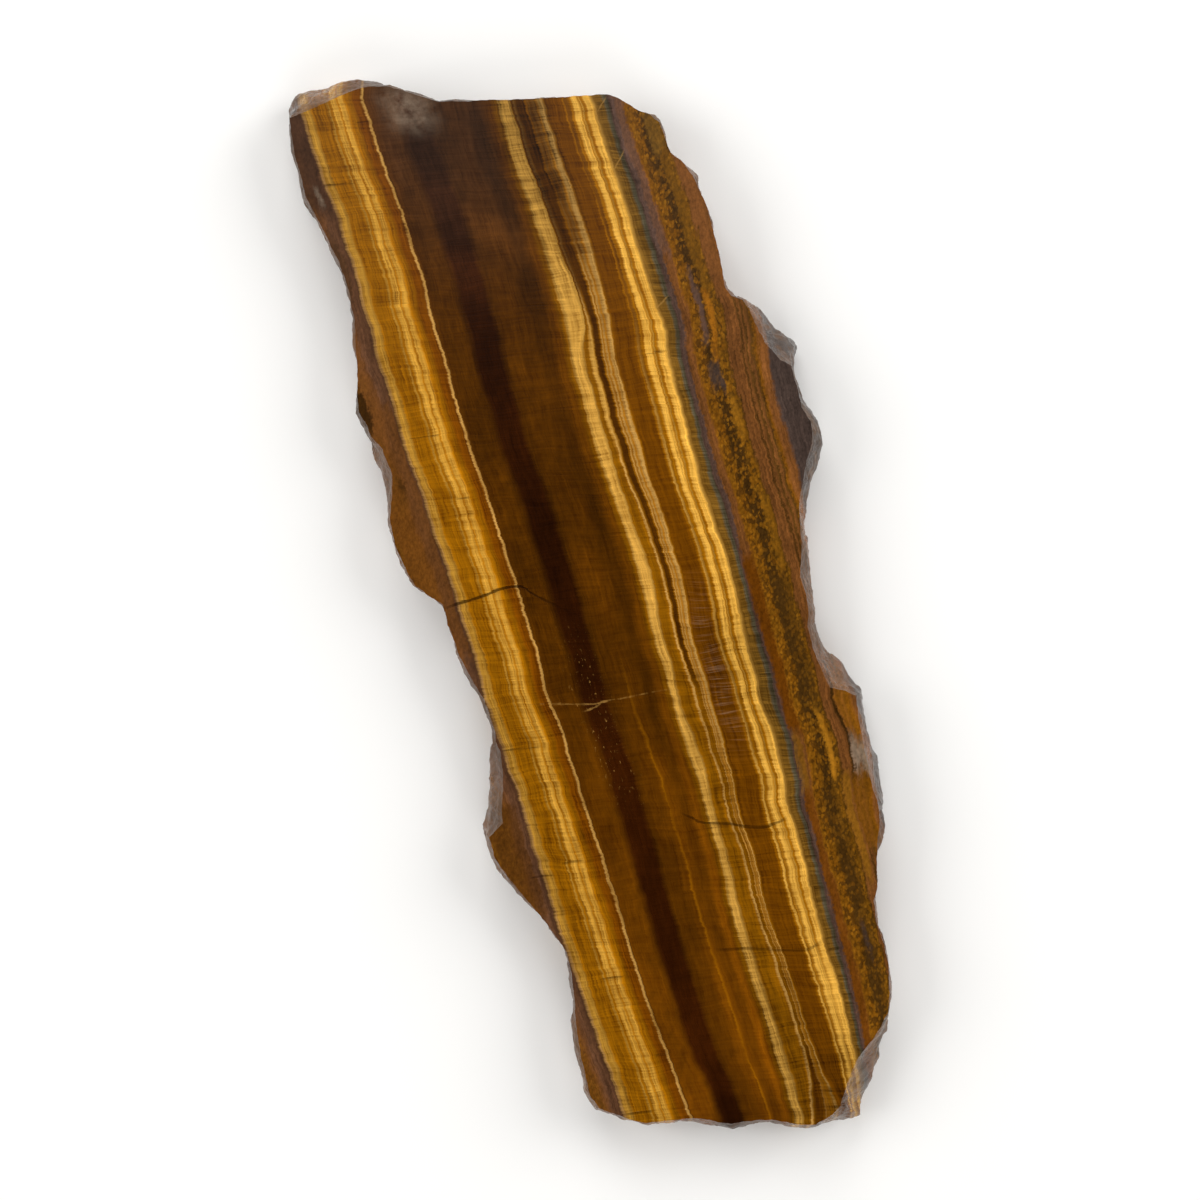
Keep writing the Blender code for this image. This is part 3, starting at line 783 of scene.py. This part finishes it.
def hairline(web, at, rows, width, fade=0.02):
    """A crack drawn through its rows: 1 on the line and 0 past its width in millimetres."""
    rough = web.times(web.take(at.fine_fibres, 0.5), 0.8)
    away = web.math("ABSOLUTE", web.add(web.take(at.along, web.guide(at.share, rows)), rough))
    line = web.span(away, width * 0.4, width, 1.0, 0.0, smooth=True)
    return web.times(line, web.window(at.share, rows[0][0] + fade / 2, rows[-1][0] - fade / 2, fade))


def short_crack(web, at, low, high, where, rise=8.0):
    """A short thin line that rises a little from left to right."""
    lift = web.times(web.take(at.share, (low + high) / 2), rise)
    rough = web.math("MULTIPLY_ADD", web.take(at.fine_fibres, 0.5), 1.4, web.take(at.along, where))
    line = web.span(web.math("ABSOLUTE", web.take(rough, lift)), 0.08, 0.32, 1.0, 0.0, smooth=True)
    return web.times(line, web.window(at.share, low, high, 0.008))


def cracks(web, at):
    """All dark cracks as one mask, and the pale healed ones as another."""
    main = hairline(web, at, MAIN_CRACK, CRACK_WIDTH_MM, 0.03)
    dark = web.times(main, web.span(at.share, 0.25, 0.36, 0.9, 0.3))
    for rows, strength in ((UPPER_CROSS_CRACK, 0.70), (LOWER_CROSS_CRACK, 0.50)):
        dark = web.math("MAXIMUM", dark, web.times(hairline(web, at, rows, CRACK_WIDTH_MM, 0.03), strength))
    for low, high, where in SHORT_CRACKS:
        dark = web.math("MAXIMUM", dark, web.times(short_crack(web, at, low, high, where), 0.55))
    trunk = hairline(web, at, HEALED_CRACK, HEALED_WIDTH_MM, 0.03)
    branch = hairline(web, at, HEALED_BRANCH, HEALED_WIDTH_MM)
    healed = web.math("MAXIMUM", trunk, branch)
    bright = web.times(web.window(at.share, 0.33, 0.42, 0.04), 0.30)
    in_stripes = web.span(at.broad_stripes, 0.35, 0.60)
    healed = web.times(healed, web.math("MULTIPLY_ADD", in_stripes, 0.28, bright))
    for low, high, where, rise in SCRATCHES:
        healed = web.math("MAXIMUM", healed, web.times(short_crack(web, at, low, high, where, rise), 0.35))
    return dark, healed


def rubs_and_painted_haze(web, at):
    """Dull whitish marks, rougher than the polish: a patch at the upper end and a haze in the amber of the
    right half.
    Their whitish colour is partly a painted haze of reflected light.
    """
    fine = web.noise(web.place(web.times(at.across, 0.28), web.times(at.along, 0.32), 0.0), 1.0, 4.0, 0.6)
    patch = web.times(web.window(at.layer, 0.29, 0.42, 0.06), web.window(at.along, 119.0, 129.0, 4.0))
    patch = web.times(patch, web.span(fine, 0.30, 0.72))
    haze = web.times(web.window(at.layer, 0.79, 0.85, 0.02), web.window(at.along, -32.0, 2.0, 9.0))
    haze = web.times(haze, web.span(at.fine_fibres, 0.50, 0.70))
    return web.math("MAXIMUM", web.times(patch, 0.34), web.times(haze, 0.14))


def stone_pattern(palette):
    """A node group that gives the stone's colour and fine height at any point of the slab."""
    tree = bpy.data.node_groups.new("tigers_eye_pattern", "ShaderNodeTree")
    tree.interface.new_socket("Colour", in_out="OUTPUT", socket_type="NodeSocketColor")
    tree.interface.new_socket("Height", in_out="OUTPUT", socket_type="NodeSocketFloat")
    tree.interface.new_socket("Scuff", in_out="OUTPUT", socket_type="NodeSocketFloat")
    web = Web(tree)
    at = Places(web)
    rock = host_rock(web, at, palette)
    left_gold = silk(web, at, web.ramp(at.layer, LEFT_GOLD_BANDS, palette), 1.15, 0.75, 0.45, LEFT_PAINTED_SHEEN)
    stone = web.mix(web.span(at.share, -0.002, 0.002), rock, left_gold)
    middle = silk(web, at, dark_middle(web, at, palette), 0.85, 0.60, 0.0, MIDDLE_PAINTED_SHEEN)
    stone = web.mix(web.span(at.layer, 0.2215, 0.2235), stone, middle)
    pale = silk(web, at, pale_bands(web, at, palette), 0.90, 0.75, 0.10, PALE_PAINTED_SHEEN)
    stone = web.mix(web.span(at.layer, 0.604, 0.632), stone, pale)
    gold = silk(web, at, gold_bands(web, at, palette), 0.95, 0.70, 0.12, GOLD_PAINTED_SHEEN)
    stone = web.mix(web.span(at.layer, 0.782, 0.800), stone, gold)
    stone = web.mix(web.span(at.share, 1.000, 1.003), stone, rock)
    dark, healed = cracks(web, at)
    rub_and_haze = rubs_and_painted_haze(web, at)
    stone = web.mix(web.times(dark, 0.85), stone, tint(palette.darkest, 0.35))
    stone = web.mix(healed, stone, palette.thin_line)
    # The whitish marks: rubbed polish, and partly a painted haze of reflected light.
    stone = web.mix(rub_and_haze, stone, palette.pale_grain)
    height = web.times(web.take(at.fine_fibres, dark), 0.3)
    ends = web.node("NodeGroupOutput")
    for name, value in (("Colour", stone), ("Height", height), ("Scuff", rub_and_haze)):
        web.feed(ends.inputs[name], value)
    return tree


def new_material(name, pattern):
    """A material with the stone pattern beside its shader, and the web that adds its other nodes."""
    made = bpy.data.materials.new(name)
    made.use_nodes = True
    web = Web(made.node_tree)
    shader = made.node_tree.nodes["Principled BSDF"]
    stone = web.node("ShaderNodeGroup")
    stone.node_tree = pattern
    return made, web, shader, stone


def bump(web, shader, height, distance, strength=1.0):
    made = web.node("ShaderNodeBump")
    made.inputs["Strength"].default_value = strength
    made.inputs["Distance"].default_value = distance
    web.feed(made.inputs["Height"], height)
    web.feed(shader.inputs["Normal"], made.outputs[0])


def stone_place(web):
    """Object coordinates in millimetres, turned to the run of the bands."""
    object_place = web.node("ShaderNodeTexCoord").outputs["Object"]
    made = web.node("ShaderNodeMapping")
    made.inputs["Scale"].default_value = (TO_MM, TO_MM, TO_MM)
    made.inputs["Rotation"].default_value = (0.0, 0.0, TURN)
    web.feed(made.inputs["Vector"], object_place)
    return made.outputs[0]


def polished_stone(pattern):
    """The sawn and polished face: glossy, with cracks that catch a little shade."""
    made, web, shader, stone = new_material("tigers_eye_polished", pattern)
    web.feed(shader.inputs["Base Color"], stone.outputs["Colour"])
    web.feed(shader.inputs["Roughness"], web.span(stone.outputs["Scuff"], 0.0, 1.0, 0.17, 0.60))
    shader.inputs["Specular IOR Level"].default_value = 0.35
    shader.inputs["Coat Weight"].default_value = 0.25
    shader.inputs["Coat Roughness"].default_value = 0.08
    bump(web, shader, stone.outputs["Height"], 0.00008, 0.5)
    return made


def broken_stone(pattern, palette):
    """The natural broken sides: glassy dark facets, stained in patches, with grains on the splinters."""
    made, web, shader, stone = new_material("tigers_eye_broken", pattern)
    place = stone_place(web)
    stain = web.noise(place, 0.11, 5.0, 0.62)
    colour = web.mix(web.span(stain, 0.42, 0.62, 0.10, 0.60), stone.outputs["Colour"], palette.dark_rock)
    rust = web.span(web.noise(place, 0.22, 4.0, 0.6), 0.50, 0.66)
    colour = web.mix(web.times(rust, 0.40), colour, palette.orange_rock)
    grain = web.noise(place, 1.6, 4.0, 0.7)
    colour = web.shade(colour, web.span(grain, 0.3, 0.7, 0.62, 1.25))
    crystals = web.span(web.noise(place, 1.1, 4.0, 0.75), 0.66, 0.74)
    colour = web.mix(web.times(crystals, 0.35), colour, palette.pale_grain)
    web.feed(shader.inputs["Base Color"], colour)
    web.feed(shader.inputs["Roughness"], web.span(stain, 0.35, 0.62, 0.20, 0.42))
    shader.inputs["Specular IOR Level"].default_value = 0.50
    shader.inputs["Specular Tint"].default_value = (1.0, 0.93, 0.86, 1.0)
    bump(web, shader, web.add(web.times(grain, 0.6), crystals), 0.0002, 0.5)
    return made


def sawn_stone(pattern, palette):
    """The back: sawn flat and left matt, dusty and lightly lined by the blade."""
    made, web, shader, stone = new_material("tigers_eye_sawn", pattern)
    place = stone_place(web)
    split = web.node("ShaderNodeSeparateXYZ")
    web.feed(split.inputs[0], place)
    x, y, z = split.outputs
    lines = web.noise(web.place(web.times(x, 0.04), web.times(y, 2.2), z), 1.0, 3.0, 0.6)
    dust = web.noise(place, 0.05, 4.0, 0.6)
    colour = web.shade(stone.outputs["Colour"], web.span(lines, 0.3, 0.7, 0.85, 1.15))
    colour = web.mix(web.span(dust, 0.3, 0.7, 0.12, 0.34), colour, palette.pale_grain)
    web.feed(shader.inputs["Base Color"], colour)
    web.feed(shader.inputs["Roughness"], web.span(dust, 0.3, 0.7, 0.62, 0.80))
    shader.inputs["Specular IOR Level"].default_value = 0.35
    bump(web, shader, lines, 0.0001, 0.6)
    return made


def deselect_all():
    bpy.ops.object.select_all(action="DESELECT")


def is_flat(z):
    """True at the height of the polished face or of the back."""
    return min(abs(z - LOW.z), abs(z - HIGH.z)) < FLAT_WITHIN


def select_flank(piece):
    """Selects the faces that don't lie in the polished face or the back."""
    for polygon in piece.data.polygons:
        polygon.select = not (is_flat(polygon.center.z) and abs(polygon.normal.z) > FACES_UP)


def slab_copy(name):
    """The CAD solid as a new piece with its corners merged and each flat face in one."""
    deselect_all()
    piece = bpy.data.objects.new(name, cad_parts[NODE].data.copy())
    piece.data.materials.clear()
    bpy.context.scene.collection.objects.link(piece)
    piece.select_set(True)
    bpy.context.view_layer.objects.active = piece
    bpy.context.tool_settings.mesh_select_mode = (False, False, True)
    bpy.ops.mesh.customdata_custom_splitnormals_clear()
    bpy.ops.object.mode_set(mode="EDIT")
    bpy.ops.mesh.select_all(action="SELECT")
    bpy.ops.mesh.remove_doubles(threshold=MERGE_WITHIN)
    for height in (LOW.z, HIGH.z):
        bpy.ops.mesh.select_all(action="DESELECT")
        bpy.ops.object.mode_set(mode="OBJECT")
        for polygon in piece.data.polygons:
            level = abs(polygon.center.z - height) < FLAT_WITHIN
            polygon.select = level and abs(polygon.normal.z) > FACES_UP
        bpy.ops.object.mode_set(mode="EDIT")
        bpy.ops.mesh.dissolve_faces()
    bpy.ops.object.mode_set(mode="OBJECT")
    return piece


def refine_flank(piece, sizes):
    """Cuts the flank into fine triangles and evens out their flat facets."""
    bpy.ops.object.mode_set(mode="EDIT")
    bpy.ops.mesh.select_all(action="DESELECT")
    bpy.ops.object.mode_set(mode="OBJECT")
    select_flank(piece)
    bpy.ops.object.mode_set(mode="EDIT")
    if sizes.flank_cuts:
        bpy.ops.mesh.subdivide(number_cuts=sizes.flank_cuts)
    bpy.ops.object.mode_set(mode="OBJECT")
    inner = piece.vertex_groups.new(name="inner_flank")
    for vertex in piece.data.vertices:
        gap = min(vertex.co.z - LOW.z, HIGH.z - vertex.co.z)
        weight = min(1.0, gap / sizes.rim_fade)
        if weight > 0.001:
            inner.add([vertex.index], weight, "REPLACE")
    smooth = piece.modifiers.new("soften", "SMOOTH")
    smooth.factor = sizes.soften
    smooth.iterations = SOFTEN_ROUNDS
    smooth.vertex_group = inner.name
    bpy.ops.object.modifier_apply(modifier=smooth.name)


def relief_texture(name, kind, scale, **settings):
    """A procedural texture for one layer of relief. Its features are about that long."""
    made = bpy.data.textures.new(name, kind)
    made.noise_scale = scale
    for setting, value in settings.items():
        setattr(made, setting, value)
    return made


def fibre_guide():
    """An empty along the fibres, stretched so that a texture read through it makes splinters."""
    bpy.ops.object.empty_add(location=(0.0, 0.0, 0.0), rotation=(0.0, 0.0, -TURN), scale=SPLINTER_STRETCH)
    return bpy.context.object


def displace(piece, texture, strength, middle, group, direction="NORMAL", guide=None):
    """One layer of relief about the surface, outwards or along one axis, and applied."""
    bpy.context.view_layer.objects.active = piece
    made = piece.modifiers.new(texture.name, "DISPLACE")
    made.texture = texture
    made.strength = strength
    made.mid_level = middle
    made.direction = direction
    made.texture_coords = "OBJECT" if guide else "LOCAL"
    made.texture_coords_object = guide
    if group:
        made.vertex_group = group
    bpy.ops.object.modifier_apply(modifier=made.name)


def break_flank(piece, sizes):
    """Ledges, splinters and grain on the sides, and chips along the arris of both flat faces."""
    guide = fibre_guide()
    ledges = relief_texture("ledges", "VORONOI", LEDGE_LENGTH, distance_metric="DISTANCE", noise_intensity=1.0)
    perlin = {"noise_basis": "ORIGINAL_PERLIN"}
    splinters = relief_texture("splinters", "CLOUDS", SPLINTER_LENGTH, noise_depth=3, **perlin)
    grain = relief_texture("grain", "CLOUDS", GRAIN_LENGTH, noise_depth=2, **perlin)
    displace(piece, ledges, sizes.ledge_depth, 0.45, "inner_flank")
    displace(piece, splinters, sizes.splinter_depth, 0.5, "inner_flank", guide=guide)
    displace(piece, grain, sizes.grain_depth, 0.5, "inner_flank")
    for axis, chip_length in CHIP_LENGTHS:
        chips = relief_texture("chips_" + axis.lower(), "CLOUDS", chip_length, noise_depth=4)
        displace(piece, chips, sizes.chip_reach, 0.5, None, direction=axis)
    bpy.data.objects.remove(guide)
    for vertex in piece.data.vertices:
        for axis in range(3):
            vertex.co[axis] = min(max(vertex.co[axis], LOW[axis]), HIGH[axis])


def finish_faces(piece, materials, sizes):
    """Gives the face, the flank and the back their finishes and their shading."""
    for made in materials:
        piece.data.materials.append(made)
    bpy.ops.object.shade_smooth_by_angle(angle=sizes.sharp_angle)
    for polygon in piece.data.polygons:
        flat = is_flat(polygon.center.z) and abs(polygon.normal.z) > FACES_UP
        if flat:
            polygon.use_smooth = False
            polygon.material_index = 0 if polygon.normal.z > 0 else 2
        else:
            polygon.material_index = 1


class OBJECT_OT_tigers_eye_slab(Operator):
    """Build the slab from the CAD solid, with its broken sides and its banded stone"""

    bl_idname = "object.tigers_eye_slab"
    bl_label = "Tiger's Eye Slab"

    def execute(self, context):
        sizes = context.scene.slab_sizes
        palette = context.scene.stone_colours
        piece = slab_copy("tigers_eye_slab")
        refine_flank(piece, sizes)
        break_flank(piece, sizes)
        pattern = stone_pattern(palette)
        materials = (polished_stone(pattern), broken_stone(pattern, palette), sawn_stone(pattern, palette))
        finish_faces(piece, materials, sizes)
        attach(piece, BODY)
        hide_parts(NODE)
        return {"FINISHED"}


def add_floor(stage):
    deselect_all()
    bpy.ops.mesh.primitive_plane_add(size=stage.floor_side, location=(0.0, 0.0, -0.0001))
    floor = bpy.context.object
    floor.name = "floor"
    bpy.ops.object.transform_apply(location=True, rotation=True, scale=True)
    pale = bpy.data.materials.new("pale_floor")
    pale.use_nodes = True
    shader = pale.node_tree.nodes["Principled BSDF"]
    shader.inputs["Base Color"].default_value = (*stage.floor_colour, 1.0)
    shader.inputs["Roughness"].default_value = 0.9
    shader.inputs["Specular IOR Level"].default_value = 0.2
    floor.data.materials.append(pale)


def add_lamp(name, place, aim, power, side):
    """A soft square lamp that looks at a point."""
    bpy.ops.object.light_add(type="AREA", location=place)
    lamp = bpy.context.object
    lamp.name = name
    lamp.data.shape = "SQUARE"
    lamp.data.size = side
    lamp.data.energy = power
    lamp.rotation_euler = (Vector(aim) - Vector(place)).to_track_quat("-Z", "Y").to_euler()


def add_sky(strength):
    """Soft light from all round, brightest at the level of the eye. It is dark overhead, where the polish
    would mirror it as a haze, but for a faint glow towards the upper end of the slab."""
    world = bpy.data.worlds.new("studio")
    bpy.context.scene.world = world
    world.use_nodes = True
    web = Web(world.node_tree)
    split = web.node("ShaderNodeSeparateXYZ")
    web.feed(split.inputs[0], web.node("ShaderNodeTexCoord").outputs["Generated"])
    glow = world.node_tree.nodes["Background"]
    level = web.span(split.outputs[2], 0.05, 0.16, 1.0, strength, smooth=True)
    all_round = web.span(split.outputs[2], 0.45, 0.88, level, 0.0, smooth=True)
    far = web.math("MULTIPLY_ADD", split.outputs[0], sin(TURN), web.times(split.outputs[1], cos(TURN)))
    veil = web.span(far, 0.06, 0.24, 0.0, 0.26, smooth=True)
    web.feed(glow.inputs["Strength"], web.math("MAXIMUM", all_round, veil))
    glow.inputs["Color"].default_value = (1.0, 0.99, 0.97, 1.0)


def add_camera(stage):
    eye = (stage.eye_x, stage.eye_y, stage.eye_height)
    bpy.ops.object.camera_add(location=eye, rotation=(0.0, 0.0, -TURN))
    camera = bpy.context.object
    camera.name = "camera"
    camera.data.lens = stage.lens
    camera.data.sensor_width = 36.0
    camera.data.clip_start = 0.01
    bpy.context.scene.camera = camera


class SCENE_OT_tigers_eye_stage(Operator):
    """Build the pale floor, the soft lamps, the sky and the camera that looks down on the slab"""

    bl_idname = "scene.tigers_eye_stage"
    bl_label = "Tiger's Eye Stage"

    def execute(self, context):
        stage = context.scene.stage_sizes
        add_floor(stage)
        middle = (0.0, 0.0, HIGH.z)
        lamps = (
            ("left_lamp", (-1.05, 0.35, 0.85), 1.0),
            ("right_lamp", (1.05, 0.10, 0.80), 1.0),
            ("far_lamp", (0.1, 1.15, 0.95), 0.9),
            ("near_lamp", (-0.1, -1.15, 0.95), 0.7),
        )
        for name, place, share in lamps:
            add_lamp(name, place, middle, stage.lamp_power * share, stage.lamp_side)
        add_sky(stage.sky)
        add_camera(stage)
        context.scene.view_settings.view_transform = "Standard"
        return {"FINISHED"}


class VIEW3D_PT_tigers_eye(Panel):
    bl_label = "Tiger's Eye"
    bl_idname = "VIEW3D_PT_tigers_eye"
    bl_space_type = "VIEW_3D"
    bl_region_type = "UI"
    bl_category = "Tiger's Eye"

    def draw(self, context):
        for group in (context.scene.slab_sizes, context.scene.stone_colours, context.scene.stage_sizes):
            box = self.layout.box()
            for name in group.bl_rna.properties.keys():
                if name not in ("rna_type", "name"):
                    box.prop(group, name)
        for operator in (OBJECT_OT_tigers_eye_slab, SCENE_OT_tigers_eye_stage):
            self.layout.operator(operator.bl_idname)


CLASSES = (
    StoneColours,
    SlabSizes,
    StageSizes,
    OBJECT_OT_tigers_eye_slab,
    SCENE_OT_tigers_eye_stage,
    VIEW3D_PT_tigers_eye,
)


def register():
    for made in CLASSES:
        bpy.utils.register_class(made)
    bpy.types.Scene.stone_colours = PointerProperty(type=StoneColours)
    bpy.types.Scene.slab_sizes = PointerProperty(type=SlabSizes)
    bpy.types.Scene.stage_sizes = PointerProperty(type=StageSizes)


def unregister():
    del bpy.types.Scene.stage_sizes
    del bpy.types.Scene.slab_sizes
    del bpy.types.Scene.stone_colours
    for made in reversed(CLASSES):
        bpy.utils.unregister_class(made)


def main():
    register()
    bpy.ops.object.tigers_eye_slab()
    bpy.ops.scene.tigers_eye_stage()
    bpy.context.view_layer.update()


if __name__ == "__main__":
    main()
